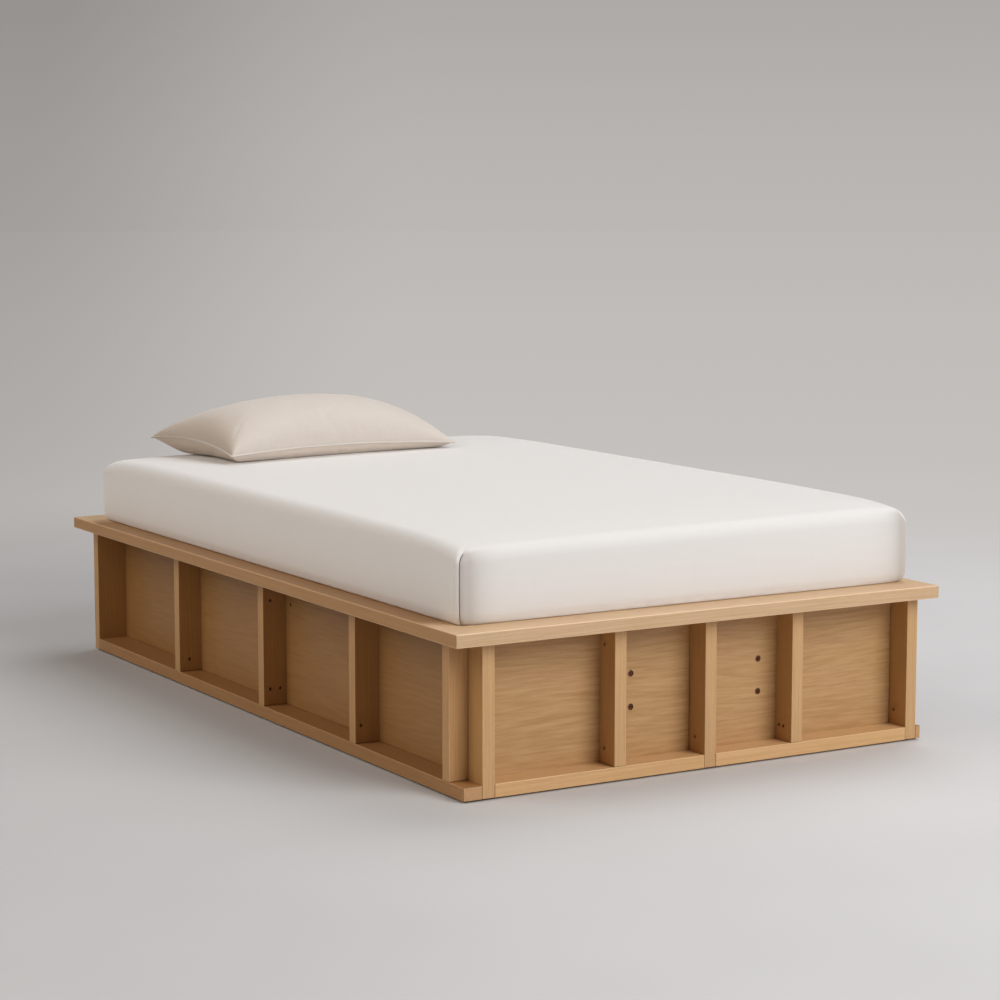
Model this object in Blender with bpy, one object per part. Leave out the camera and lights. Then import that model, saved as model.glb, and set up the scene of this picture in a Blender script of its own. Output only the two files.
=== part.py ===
"""A platform bed: open storage bays round a wooden base, a slatted deck, a mattress and a pillow.

Lengths are in metres, and +Z is up. The bed lies along Y with its foot towards -Y.
The origin is on the floor, under the middle of the deck. Boards are laid out from the base's
own foot-left corner, with x to the right along the foot and y towards the head.
"""
import math

import bmesh
import bpy
from mathutils import Matrix, Vector

# Fits
CONTACT_GAP = 0.0003
DRILL_CLEARANCE = 0.0003
CUT_OVERRUN = 0.002

# Boards and their edges
BOARD_THICKNESS = 0.030
PANEL_THICKNESS = 0.018
EDGE_EASE = 0.0012
EASE_STEPS = 2
HIDDEN_EASE_STEPS = 1

# Base, without the deck
BASE_HEIGHT = 0.344
RECESS_DEPTH = 0.062
HEAD_BAY_EXTRA_DEPTH = 0.020
LEFT_STEP = 0.047
RIGHT_STEP = 0.0135
FOOT_OUTER_BAY = 0.306
SIDE_BAY_SHARES = (0.216, 0.243, 0.257, 0.284)
SUPPORT_SPACING = 0.350
LEDGE_HEIGHT = 0.045
LEDGE_THICKNESS = 0.030

# Felt under the base
FELT_THICKNESS = 0.004
FELT_WIDTH = 0.025
FELT_INSET = 0.012

# Deck, which shows a margin on each side of the mattress
LEFT_MARGIN = 0.0615
RIGHT_MARGIN = 0.0385
FOOT_MARGIN = 0.087
HEAD_MARGIN = 0.099
DECK_THICKNESS = 0.030
DECK_EASE = 0.002
LEFT_OVERHANG = 0.039
RIGHT_OVERHANG = 0.015
FOOT_OVERHANG = 0.040
HEAD_OVERHANG = 0.046
HEAD_RIM_WIDTH = 0.140
SLAT_COUNT = 9
SLAT_WIDTH = 0.135

# Connector bolts, two through the foot into the end of each support board
BOLT_SIDES = 18
BOLT_MIDDLE_HEIGHT = 0.188
BOLT_SPACING = 0.076
COUNTERBORE_RADIUS = 0.0076
COUNTERBORE_DEPTH = 0.0085
HEAD_RADIUS = 0.0060
HEAD_HEIGHT = 0.0055
HEAD_CHAMFER = 0.0008
SHANK_RADIUS = 0.0035
SHANK_DEPTH_IN_SUPPORT = 0.035
SOCKET_RADIUS = 0.0026
SOCKET_DEPTH = 0.0030

# Blind peg holes in the sides of the dividers
PEG_HOLE_SIDES = 12
PEG_HOLE_RADIUS = 0.0042
PEG_HOLE_DEPTH = 0.010
# Each hole's place: its share of the divider's depth from the front, and of the base's height
SIDE_DIVIDER_HOLE_SHARES = (
    ((0.15, 0.22),),
    ((0.20, 0.86), (0.18, 0.22), (0.45, 0.22)),
    ((0.28, 0.19),),
)
FOOT_LEFT_DIVIDER_HOLE_SHARES = ((0.70, 0.88), (0.70, 0.20))
FOOT_MIDDLE_DIVIDER_HOLE_SHARES = ((0.50, 0.20),)
FOOT_RIGHT_DIVIDER_HOLE_SHARES = ((0.78, 0.20), (0.50, 0.20))
FOOT_RIGHT_POST_HOLE_SHARES = ((0.56, 0.20),)
# The one hole in a side module's back panels: which panel, counted from the foot,
# and its share of the panel's length and of the base's height
DRILLED_BACK_PANEL = 2
BACK_PANEL_HOLE_SHARES = (0.94, 0.83)

# Mattress, its width and length measured where it rests on the deck
MATTRESS_WIDTH = 1.200
MATTRESS_LENGTH = 2.000
MATTRESS_HEIGHT = 0.174
MATTRESS_CROWN = 0.015
MATTRESS_CORNER_DROP = 0.008
MATTRESS_CORNER_DROP_REACH = 0.160
MATTRESS_CORNER_RADIUS = 0.020
MATTRESS_STAND_OUT = 0.012
MATTRESS_TUCK_HEIGHT = 0.040
MATTRESS_TOP_ROUND_WIDTH = 0.036
MATTRESS_TOP_ROUND_HEIGHT = 0.034
CROWN_RING_SHARES = (0.85, 0.65, 0.40, 0.15)

# Pillow
PILLOW_WIDTH = 0.710
PILLOW_DEPTH = 0.440
PILLOW_HEIGHT = 0.160
PILLOW_SIDE_DRAW = 0.018
PILLOW_NEAR_SEAM_HEIGHT = 0.020
PILLOW_FAR_SEAM_HEIGHT = 0.048
PILLOW_SEAM_LIFT = 0.012
PILLOW_REST_INSET = 0.034
PILLOW_LEFT_MARGIN = 0.152
PILLOW_HEAD_MARGIN = 0.008
PILLOW_TURN = math.radians(3.0)
PILLOW_FULLNESS = 0.45

# Finishes: colour, roughness, metallic
DECK_WOOD = ((0.58, 0.38, 0.20), 0.52, 0.0)
FRAME_WOOD = ((0.54, 0.35, 0.18), 0.55, 0.0)
PANEL_WOOD = ((0.46, 0.28, 0.14), 0.58, 0.0)
INNER_WOOD = ((0.60, 0.45, 0.28), 0.65, 0.0)
DARK_FELT = ((0.035, 0.032, 0.030), 0.95, 0.0)
BRONZED_STEEL = ((0.16, 0.09, 0.06), 0.45, 0.8)
COVER_FABRIC = ((0.76, 0.73, 0.69), 0.9, 0.0)
LINEN = ((0.66, 0.58, 0.50), 0.92, 0.0)

# The deck is as large as the mattress and its margins, and the base as the deck less its overhangs
DECK_WIDTH = LEFT_MARGIN + MATTRESS_WIDTH + RIGHT_MARGIN
DECK_LENGTH = FOOT_MARGIN + MATTRESS_LENGTH + HEAD_MARGIN
BASE_WIDTH = DECK_WIDTH - LEFT_OVERHANG - RIGHT_OVERHANG
BASE_LENGTH = DECK_LENGTH - FOOT_OVERHANG - HEAD_OVERHANG

# Levels and depths that follow from the sizes above
BOARD_FOOT = FELT_THICKNESS
BOTTOM_TOP = BOARD_FOOT + BOARD_THICKNESS
SIDE_DEPTH = RECESS_DEPTH + HEAD_BAY_EXTRA_DEPTH + PANEL_THICKNESS
FOOT_DEPTH = RECESS_DEPTH + PANEL_THICKNESS
DECK_BOTTOM = BASE_HEIGHT + CONTACT_GAP
DECK_TOP = DECK_BOTTOM + DECK_THICKNESS
HEAD_END = BASE_LENGTH - BOARD_THICKNESS


def clear_scene():
    for leftover in list(bpy.data.objects):
        bpy.data.objects.remove(leftover, do_unlink=True)


def material(name, finish):
    colour, roughness, metallic = finish
    made = bpy.data.materials.new(name)
    made.use_nodes = True
    shader = made.node_tree.nodes["Principled BSDF"]
    shader.inputs["Base Color"].default_value = (*colour, 1.0)
    shader.inputs["Roughness"].default_value = roughness
    shader.inputs["Metallic"].default_value = metallic
    return made


def add_object(name, bm, finish, parent, location):
    """Turn the finished shape into an object with its own material, placed under its parent."""
    mesh = bpy.data.meshes.new(name)
    bm.to_mesh(mesh)
    bm.free()
    made = bpy.data.objects.new(name, mesh)
    bpy.context.scene.collection.objects.link(made)
    made.parent = parent
    made.location = location
    if finish:
        made.data.materials.append(material(name, finish))
    return made


def shade_round(piece, sharp_angle=math.radians(40)):
    piece.data.shade_smooth()
    piece.data.set_sharp_from_angle(angle=sharp_angle)


# Board shapes: every board has an even thickness and an outline in plan

def rectangle(x_low, x_high, y_low, y_high):
    return [(x_low, y_low), (x_high, y_low), (x_high, y_high), (x_low, y_high)]


def board(name, outline, bottom, top, finish, ease=EDGE_EASE, steps=EASE_STEPS, eased_side=None):
    """A board with eased edges: all the outer ones, or only those along one side of the outline."""
    corner = Vector((min(x for x, y in outline), min(y for x, y in outline), bottom))
    bm = bmesh.new()
    lower = [bm.verts.new((x - corner.x, y - corner.y, 0)) for x, y in outline]
    upper = [bm.verts.new((x - corner.x, y - corner.y, top - bottom)) for x, y in outline]
    bm.faces.new(lower)
    bm.faces.new(upper)
    for i in range(len(outline)):
        bm.faces.new((lower[i - 1], lower[i], upper[i], upper[i - 1]))
    bmesh.ops.recalc_face_normals(bm, faces=bm.faces[:])
    bm.normal_update()
    if eased_side is None:
        edges = [edge for edge in bm.edges if edge.is_convex]
    else:
        ends = (eased_side, (eased_side + 1) % len(outline))
        edges = [bm.edges.get([ring[end] for end in ends]) for ring in (lower, upper)]
    if ease:
        bmesh.ops.bevel(bm, geom=edges, offset=ease, offset_type="OFFSET", segments=steps,
                        profile=0.5, affect="EDGES", clamp_overlap=True)
    return add_object(name, bm, finish, base_corner, corner)


def rings_to_solid(bm, rings):
    """Join rings of points, each with as many points, and close the first and the last."""
    made = [[bm.verts.new(point) for point in ring] for ring in rings]
    for ring, following in zip(made, made[1:]):
        for i in range(len(ring)):
            bm.faces.new((ring[i - 1], ring[i], following[i], following[i - 1]))
    bm.faces.new(made[0])
    bm.faces.new(made[-1])


def round_ring(radius, height, sides):
    turns = [math.tau * i / sides for i in range(sides)]
    return [Vector((radius * math.cos(turn), radius * math.sin(turn), height)) for turn in turns]


def hexagon_ring(flat_radius, height, sides):
    """A ring whose points lie on the six flats of a socket, as many as a round ring has."""
    sixth = math.tau / 6
    points = []
    for i in range(sides):
        turn = math.tau * i / sides
        radius = flat_radius / math.cos(turn % sixth - sixth / 2)
        points.append(Vector((radius * math.cos(turn), radius * math.sin(turn), height)))
    return points


def drill(piece, profile, sides, places, direction):
    """Cut a turned hole into the board at each place, which is where the hole's mouth lies."""
    bm = bmesh.new()
    turn = Vector(direction).to_track_quat("Z", "Y").to_matrix().to_4x4()
    for place in places:
        move = Matrix.Translation(place) @ turn
        rings_to_solid(bm, [[move @ point for point in round_ring(radius, depth, sides)]
                            for radius, depth in profile])
    bmesh.ops.recalc_face_normals(bm, faces=bm.faces[:])
    cutter = add_object(piece.name + "_holes", bm, None, base_corner, (0, 0, 0))
    cutter.hide_render = True
    cutter.display_type = "WIRE"
    cut = piece.modifiers.new("holes", "BOOLEAN")
    cut.operation = "DIFFERENCE"
    cut.solver = "EXACT"
    cut.object = cutter


def drill_pegs(piece, places, direction):
    profile = ((PEG_HOLE_RADIUS, -CUT_OVERRUN), (PEG_HOLE_RADIUS, PEG_HOLE_DEPTH))
    drill(piece, profile, PEG_HOLE_SIDES, places, direction)


# Long side modules, one the mirror of the other but for their corners at the foot

def on_side(side, outline):
    """Lay an outline, drawn from the left side's outer face, on the left or the right side."""
    if side == "left":
        return outline
    return [(BASE_WIDTH - x, y) for x, y in outline]


def side_divider_starts():
    """Where each divider of a long side begins, and where the last bay ends."""
    clear_start = RECESS_DEPTH + BOARD_THICKNESS
    divider_count = len(SIDE_BAY_SHARES) - 1
    clear_length = HEAD_END - clear_start - divider_count * BOARD_THICKNESS
    starts = []
    place = clear_start
    for share in SIDE_BAY_SHARES:
        place += share * clear_length
        starts.append(place)
        place += BOARD_THICKNESS
    return starts


def side_bottom_board(side, step):
    """The board along the floor; its corner at the foot is cut back round the foot module."""
    behind_foot = FOOT_DEPTH + CONTACT_GAP
    head_end = HEAD_END - CONTACT_GAP
    outline = [(0, 0), (step, 0), (step, behind_foot), (SIDE_DEPTH, behind_foot),
               (SIDE_DEPTH, head_end), (0, head_end)]
    board(side + "_bottom_board", on_side(side, outline), BOARD_FOOT, BOTTOM_TOP, FRAME_WOOD)


def left_foot_end_panel():
    """It closes the left module's foot end, rebated for the end of the foot module's back panel."""
    rebate = FOOT_DEPTH + CONTACT_GAP
    outline = [(0, RECESS_DEPTH), (LEFT_STEP, RECESS_DEPTH), (LEFT_STEP, rebate), (SIDE_DEPTH, rebate),
               (SIDE_DEPTH, RECESS_DEPTH + BOARD_THICKNESS), (0, RECESS_DEPTH + BOARD_THICKNESS)]
    board("left_foot_end_panel", outline, BOTTOM_TOP + CONTACT_GAP, BASE_HEIGHT, FRAME_WOOD)
    return RECESS_DEPTH + BOARD_THICKNESS


def right_foot_end_panel():
    start = FOOT_DEPTH + CONTACT_GAP
    outline = on_side("right", rectangle(0, SIDE_DEPTH, start, start + BOARD_THICKNESS))
    board("right_foot_end_panel", outline, BOTTOM_TOP + CONTACT_GAP, BASE_HEIGHT, FRAME_WOOD)
    return start + BOARD_THICKNESS


def side_module(side, step, first_bay_start):
    side_bottom_board(side, step)
    outline = on_side(side, rectangle(0, SIDE_DEPTH, HEAD_END, BASE_LENGTH))
    board(side + "_head_end_panel", outline, BOARD_FOOT, BASE_HEIGHT, FRAME_WOOD)

    bay_start = first_bay_start
    bottom = BOTTOM_TOP + CONTACT_GAP
    into_side = (1, 0, 0) if side == "left" else (-1, 0, 0)
    for number, bay_end in enumerate(side_divider_starts(), start=1):
        last_bay = number == len(SIDE_BAY_SHARES)
        panel_front = RECESS_DEPTH + (HEAD_BAY_EXTRA_DEPTH if last_bay else 0)
        outline = on_side(side, rectangle(panel_front, panel_front + PANEL_THICKNESS,
                                          bay_start + CONTACT_GAP, bay_end - CONTACT_GAP))
        panel = board("%s_back_panel_%d" % (side, number), outline, bottom, BASE_HEIGHT, PANEL_WOOD,
                      steps=HIDDEN_EASE_STEPS)
        if number == DRILLED_BACK_PANEL:
            along_share, height_share = BACK_PANEL_HOLE_SHARES
            along = bay_start + along_share * (bay_end - bay_start)
            mouth = on_side(side, [(panel_front, along)])[0]
            drill_pegs(panel, [(*mouth, height_share * BASE_HEIGHT)], into_side)
        if not last_bay:
            outline = on_side(side, rectangle(0, SIDE_DEPTH, bay_end, bay_end + BOARD_THICKNESS))
            divider = board("%s_divider_%d" % (side, number), outline, bottom, BASE_HEIGHT, FRAME_WOOD)
            places = []
            for depth_share, height_share in SIDE_DIVIDER_HOLE_SHARES[number - 1]:
                mouth = on_side(side, [(depth_share * SIDE_DEPTH, bay_end)])[0]
                places.append((*mouth, height_share * BASE_HEIGHT))
            drill_pegs(divider, places, (0, 1, 0))
        bay_start = bay_end + BOARD_THICKNESS


# Foot module, between the two corner steps

FOOT_LEFT = LEFT_STEP
FOOT_RIGHT = BASE_WIDTH - RIGHT_STEP
FOOT_MIDDLE = (FOOT_LEFT + FOOT_RIGHT) / 2
MIDDLE_DIVIDER_LEFT = FOOT_MIDDLE - BOARD_THICKNESS / 2
MIDDLE_DIVIDER_RIGHT = FOOT_MIDDLE + BOARD_THICKNESS / 2
LEFT_POST_RIGHT = FOOT_LEFT + BOARD_THICKNESS
RIGHT_POST_LEFT = FOOT_RIGHT - BOARD_THICKNESS


def foot_upright(name, left, depth, bottom, hole_shares):
    """An upright of the foot module, with its peg holes in the side that faces left."""
    outline = rectangle(left, left + BOARD_THICKNESS, 0, depth)
    upright = board(name, outline, bottom, BASE_HEIGHT, FRAME_WOOD)
    if hole_shares:
        places = [(left, depth_share * depth, height_share * BASE_HEIGHT)
                  for depth_share, height_share in hole_shares]
        drill_pegs(upright, places, (1, 0, 0))


def foot_uprights():
    in_front = RECESS_DEPTH - CONTACT_GAP
    on_rail = BOTTOM_TOP + CONTACT_GAP
    foot_upright("foot_left_post", FOOT_LEFT + CONTACT_GAP, in_front, BOARD_FOOT, ())
    foot_upright("foot_left_divider", LEFT_POST_RIGHT + FOOT_OUTER_BAY, in_front, on_rail,
                 FOOT_LEFT_DIVIDER_HOLE_SHARES)
    foot_upright("foot_middle_divider", MIDDLE_DIVIDER_LEFT, FOOT_DEPTH, BOARD_FOOT,
                 FOOT_MIDDLE_DIVIDER_HOLE_SHARES)
    foot_upright("foot_right_divider", RIGHT_POST_LEFT - FOOT_OUTER_BAY - BOARD_THICKNESS, in_front,
                 on_rail, FOOT_RIGHT_DIVIDER_HOLE_SHARES)
    foot_upright("foot_right_post", RIGHT_POST_LEFT - CONTACT_GAP, FOOT_DEPTH, BOARD_FOOT,
                 FOOT_RIGHT_POST_HOLE_SHARES)


def foot_rails():
    left = LEFT_POST_RIGHT + 2 * CONTACT_GAP
    right = RIGHT_POST_LEFT - 2 * CONTACT_GAP
    for name, start, end in (("foot_left_rail", left, MIDDLE_DIVIDER_LEFT - CONTACT_GAP),
                             ("foot_right_rail", MIDDLE_DIVIDER_RIGHT + CONTACT_GAP, right)):
        outline = rectangle(start, end, 0, RECESS_DEPTH - CONTACT_GAP)
        board(name, outline, BOARD_FOOT, BOTTOM_TOP, FRAME_WOOD)


def support_middles():
    return (FOOT_MIDDLE - SUPPORT_SPACING / 2, FOOT_MIDDLE + SUPPORT_SPACING / 2)


def bolt_heights():
    return (BOLT_MIDDLE_HEIGHT - BOLT_SPACING / 2, BOLT_MIDDLE_HEIGHT + BOLT_SPACING / 2)


def foot_panels():
    """The panels behind the foot's bays, each bored for the two bolts into one support board."""
    left = FOOT_LEFT + CONTACT_GAP
    right = RIGHT_POST_LEFT - 2 * CONTACT_GAP
    spans = ((left, MIDDLE_DIVIDER_LEFT - CONTACT_GAP), (MIDDLE_DIVIDER_RIGHT + CONTACT_GAP, right))
    bore = SHANK_RADIUS + DRILL_CLEARANCE
    profile = ((COUNTERBORE_RADIUS, -CUT_OVERRUN), (COUNTERBORE_RADIUS, COUNTERBORE_DEPTH),
               (bore, COUNTERBORE_DEPTH), (bore, PANEL_THICKNESS + CUT_OVERRUN))
    for side, (start, end), middle in zip(("left", "right"), spans, support_middles()):
        outline = rectangle(start, end, RECESS_DEPTH, FOOT_DEPTH)
        panel = board("foot_%s_panel" % side, outline, BOARD_FOOT, BASE_HEIGHT, PANEL_WOOD,
                      steps=HIDDEN_EASE_STEPS)
        places = [(middle, RECESS_DEPTH, height) for height in bolt_heights()]
        drill(panel, profile, BOLT_SIDES, places, (0, 1, 0))


# Inside the base

def support_boards():
    """Two boards on edge from foot to head, which carry the slats and hold the foot by its bolts."""
    start = FOOT_DEPTH + CONTACT_GAP
    bore = SHANK_RADIUS + DRILL_CLEARANCE
    profile = ((bore, -CUT_OVERRUN), (bore, SHANK_DEPTH_IN_SUPPORT + CONTACT_GAP))
    for side, middle in zip(("left", "right"), support_middles()):
        outline = rectangle(middle - BOARD_THICKNESS / 2, middle + BOARD_THICKNESS / 2,
                            start, HEAD_END - CONTACT_GAP)
        support = board(side + "_support_board", outline, 0, BASE_HEIGHT, INNER_WOOD,
                        steps=HIDDEN_EASE_STEPS)
        places = [(middle, start, height) for height in bolt_heights()]
        drill(support, profile, BOLT_SIDES, places, (0, 1, 0))


def slat_ledges():
    inner = SIDE_DEPTH + CONTACT_GAP
    for side in ("left", "right"):
        outline = rectangle(inner, inner + LEDGE_THICKNESS,
                            FOOT_DEPTH + CONTACT_GAP, HEAD_END - CONTACT_GAP)
        board(side + "_slat_ledge", on_side(side, outline), BASE_HEIGHT - LEDGE_HEIGHT, BASE_HEIGHT,
              INNER_WOOD, steps=HIDDEN_EASE_STEPS)


def head_panel():
    outline = rectangle(SIDE_DEPTH + CONTACT_GAP, BASE_WIDTH - SIDE_DEPTH - CONTACT_GAP,
                        HEAD_END, HEAD_END + PANEL_THICKNESS)
    board("head_panel", outline, BOARD_FOOT, BASE_HEIGHT, PANEL_WOOD, steps=HIDDEN_EASE_STEPS)


def connector_bolts():
    """Socket-head bolts, sunk below the panel's face, each turned about its own axis along Y."""
    seat = COUNTERBORE_DEPTH - CONTACT_GAP
    face = seat - HEAD_HEIGHT
    end = PANEL_THICKNESS + SHANK_DEPTH_IN_SUPPORT
    for side, middle in zip(("left", "right"), support_middles()):
        for level, height in zip(("lower", "upper"), bolt_heights()):
            bm = bmesh.new()
            rings_to_solid(bm, [hexagon_ring(SOCKET_RADIUS, face + SOCKET_DEPTH, BOLT_SIDES),
                                hexagon_ring(SOCKET_RADIUS, face, BOLT_SIDES),
                                round_ring(HEAD_RADIUS - HEAD_CHAMFER, face, BOLT_SIDES),
                                round_ring(HEAD_RADIUS, face + HEAD_CHAMFER, BOLT_SIDES),
                                round_ring(HEAD_RADIUS, seat, BOLT_SIDES),
                                round_ring(SHANK_RADIUS, seat, BOLT_SIDES),
                                round_ring(SHANK_RADIUS, end, BOLT_SIDES)])
            bmesh.ops.recalc_face_normals(bm, faces=bm.faces[:])
            bolt = add_object("%s_%s_connector_bolt" % (side, level), bm, BRONZED_STEEL, base_corner,
                              (middle, RECESS_DEPTH, height))
            bolt.rotation_euler = (-math.pi / 2, 0, 0)
            shade_round(bolt)


def felt_strips():
    """Dark felt under the base's four sides, set in so that only its shadow shows."""
    top = FELT_THICKNESS - CONTACT_GAP
    left = rectangle(FELT_INSET, FELT_INSET + FELT_WIDTH, FELT_INSET, BASE_LENGTH - FELT_INSET)
    right = on_side("right", rectangle(FELT_INSET, FELT_INSET + FELT_WIDTH,
                                       FOOT_DEPTH + FELT_INSET, BASE_LENGTH - FELT_INSET))
    foot = rectangle(FOOT_LEFT + FELT_INSET, FOOT_RIGHT - FELT_INSET, FELT_INSET, FELT_INSET + FELT_WIDTH)
    head = rectangle(SIDE_DEPTH + FELT_INSET, BASE_WIDTH - SIDE_DEPTH - FELT_INSET,
                     HEAD_END, HEAD_END + PANEL_THICKNESS)
    for side, outline in (("left", left), ("right", right), ("foot", foot), ("head", head)):
        board(side + "_felt_strip", outline, 0, top, DARK_FELT, ease=0)


# Deck

DECK_LOW = Vector((-LEFT_OVERHANG, -FOOT_OVERHANG))
DECK_HIGH = DECK_LOW + Vector((DECK_WIDTH, DECK_LENGTH))
OPEN_LOW = Vector((SIDE_DEPTH, FOOT_DEPTH))
OPEN_HIGH = Vector((BASE_WIDTH - SIDE_DEPTH, DECK_HIGH.y - HEAD_RIM_WIDTH))


def deck_rim():
    """Four mitred boards round the slats. Their mitres run from the outer to the inner corners."""
    outer = [Vector(point) for point in rectangle(DECK_LOW.x, DECK_HIGH.x, DECK_LOW.y, DECK_HIGH.y)]
    inner = [Vector(point) for point in rectangle(OPEN_LOW.x, OPEN_HIGH.x, OPEN_LOW.y, OPEN_HIGH.y)]
    for i, side in enumerate(("foot", "right", "head", "left")):
        j = (i + 1) % 4
        shrink = (outer[j] - outer[i]).normalized() * CONTACT_GAP / math.sqrt(2)
        outline = [outer[i] + shrink, outer[j] - shrink, inner[j] - shrink, inner[i] + shrink]
        board("deck_%s_board" % side, outline, DECK_BOTTOM, DECK_TOP, DECK_WOOD,
              ease=DECK_EASE, eased_side=0)


def deck_slats():
    spacing = (OPEN_HIGH.y - OPEN_LOW.y - SLAT_COUNT * SLAT_WIDTH) / (SLAT_COUNT + 1)
    for i in range(SLAT_COUNT):
        start = OPEN_LOW.y + spacing + i * (spacing + SLAT_WIDTH)
        outline = rectangle(OPEN_LOW.x + CONTACT_GAP, OPEN_HIGH.x - CONTACT_GAP, start, start + SLAT_WIDTH)
        board("slat_%d" % (i + 1), outline, DECK_BOTTOM, DECK_TOP, INNER_WOOD, steps=HIDDEN_EASE_STEPS)


# Mattress and pillow

def rounded_ring(inset, height):
    """The mattress's outline in plan, drawn in by an inset, with points along its straight sides too."""
    reach_x = MATTRESS_WIDTH / 2 - inset - MATTRESS_CORNER_RADIUS
    reach_y = MATTRESS_LENGTH / 2 - inset - MATTRESS_CORNER_RADIUS
    corner_steps = 4
    points = []
    corners = ((1, 1, 4), (-1, 1, 6), (-1, -1, 4), (1, -1, 6))
    for quarter, (sign_x, sign_y, side_steps) in enumerate(corners):
        centre = Vector((sign_x * reach_x, sign_y * reach_y, height))
        for step in range(corner_steps + 1):
            turn = math.pi / 2 * (quarter + step / corner_steps)
            points.append(centre + MATTRESS_CORNER_RADIUS * Vector((math.cos(turn), math.sin(turn), 0)))
        along_side = (-2 * sign_x * reach_x, 0, 0) if quarter % 2 == 0 else (0, -2 * sign_y * reach_y, 0)
        last = points[-1]
        points.extend(last + Vector(along_side) * step / side_steps for step in range(1, side_steps))
    return points


def mattress_crown(x, y):
    """How high the top stands above its height at the ends, at a place measured from its middle.

    The top is full along its middle and drops a little towards the four corners.
    """
    share_x = min(1, abs(x) / (MATTRESS_WIDTH / 2))
    share_y = min(1, abs(y) / (MATTRESS_LENGTH / 2))
    to_corner = math.hypot(abs(x) - MATTRESS_WIDTH / 2, abs(y) - MATTRESS_LENGTH / 2)
    drop = MATTRESS_CORNER_DROP * max(0, 1 - to_corner / MATTRESS_CORNER_DROP_REACH) ** 2
    return MATTRESS_CROWN * (1 - share_y ** 6) * (1 - 0.2 * share_x ** 4) - drop


def mattress():
    """Sides that stand out over a tucked bottom, round top edges and a crowned top."""
    rings = []
    for step in range(4):
        turn = math.pi / 2 * step / 3
        rings.append(rounded_ring(-MATTRESS_STAND_OUT * math.sin(turn),
                                  MATTRESS_TUCK_HEIGHT * (1 - math.cos(turn))))
    for step in range(6):
        turn = math.pi / 2 * step / 5
        rings.append(rounded_ring(MATTRESS_TOP_ROUND_WIDTH * (1 - math.cos(turn)) - MATTRESS_STAND_OUT,
                                  MATTRESS_HEIGHT - MATTRESS_TOP_ROUND_HEIGHT * (1 - math.sin(turn))))
    edge = rings[-1]
    for share in CROWN_RING_SHARES:
        rings.append([Vector((share * point.x, share * point.y, MATTRESS_HEIGHT)) for point in edge])
    for ring in rings[4:]:
        for point in ring:
            share = (point.z - MATTRESS_TUCK_HEIGHT) / (MATTRESS_HEIGHT - MATTRESS_TUCK_HEIGHT)
            point.z += share * mattress_crown(point.x, point.y)
    bm = bmesh.new()
    rings_to_solid(bm, rings)
    bmesh.ops.recalc_face_normals(bm, faces=bm.faces[:])
    middle = (DECK_LOW.x + LEFT_MARGIN + MATTRESS_WIDTH / 2,
              DECK_LOW.y + FOOT_MARGIN + MATTRESS_LENGTH / 2, DECK_TOP + CONTACT_GAP)
    made = add_object("mattress", bm, COVER_FABRIC, base_corner, middle)
    shade_round(made)
    return made


def pillow_seam_height(across, along):
    """The seam's height above the mattress: least at the near corners, more at the far ones and mid-side."""
    height = PILLOW_NEAR_SEAM_HEIGHT
    height += (PILLOW_FAR_SEAM_HEIGHT - PILLOW_NEAR_SEAM_HEIGHT) * (1 + along) / 2
    return height + PILLOW_SEAM_LIFT * (1 - across ** 2 * along ** 2)


def pillow(bed):
    """Two faces that meet in a seam, with the sides drawn in between pointed corners."""
    middle = Vector((-MATTRESS_WIDTH / 2 + PILLOW_LEFT_MARGIN + PILLOW_WIDTH / 2,
                     MATTRESS_LENGTH / 2 - PILLOW_HEAD_MARGIN - PILLOW_DEPTH / 2,
                     MATTRESS_HEIGHT + CONTACT_GAP))
    turn = Matrix.Rotation(PILLOW_TURN, 3, "Z")
    columns, rows = 24, 18

    def point(i, j, upper):
        across = math.sin(math.pi / 2 * (2 * i / columns - 1))
        along = math.sin(math.pi / 2 * (2 * j / rows - 1))
        x = across * (PILLOW_WIDTH / 2 - PILLOW_SIDE_DRAW * (1 - along ** 2))
        y = along * (PILLOW_DEPTH / 2 - PILLOW_SIDE_DRAW * (1 - across ** 2))
        seam = pillow_seam_height(across, along)
        if upper:
            plump = max(0, (1 - across ** 2) * (1 - along ** 2)) ** PILLOW_FULLNESS
            height = seam + (PILLOW_HEIGHT - seam) * plump
        else:
            from_edge = min(PILLOW_WIDTH / 2 * (1 - abs(across)), PILLOW_DEPTH / 2 * (1 - abs(along)))
            rise = max(0, 1 - from_edge / PILLOW_REST_INSET)
            height = seam * rise ** 2
        on_mattress = middle + turn @ Vector((x, y, 0))
        return Vector((x, y, height + mattress_crown(on_mattress.x, on_mattress.y)))

    bm = bmesh.new()
    faces = {}
    for upper in (False, True):
        for i in range(columns + 1):
            for j in range(rows + 1):
                on_seam = i in (0, columns) or j in (0, rows)
                if upper and on_seam:
                    faces[upper, i, j] = faces[False, i, j]
                else:
                    faces[upper, i, j] = bm.verts.new(point(i, j, upper))
        for i in range(columns):
            for j in range(rows):
                around = [(i, j), (i + 1, j), (i + 1, j + 1), (i, j + 1)]
                if not upper:
                    around.reverse()
                bm.faces.new([faces[(upper, *place)] for place in around])
    made = add_object("pillow", bm, LINEN, bed, middle)
    made.rotation_euler = (0, 0, PILLOW_TURN)
    shade_round(made)


clear_scene()
base_corner = bpy.data.objects.new("base_corner", None)
bpy.context.scene.collection.objects.link(base_corner)
base_corner.location = (-(DECK_LOW.x + DECK_HIGH.x) / 2, -(DECK_LOW.y + DECK_HIGH.y) / 2, 0)

side_module("left", LEFT_STEP, left_foot_end_panel())
side_module("right", RIGHT_STEP, right_foot_end_panel())
foot_uprights()
foot_rails()
foot_panels()
support_boards()
slat_ledges()
head_panel()
connector_bolts()
felt_strips()
deck_rim()
deck_slats()
pillow(mattress())
bpy.context.view_layer.update()
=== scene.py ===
import math

import bmesh
import bpy
from mathutils import Matrix, Vector, noise
from mathutils.kdtree import KDTree


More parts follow.
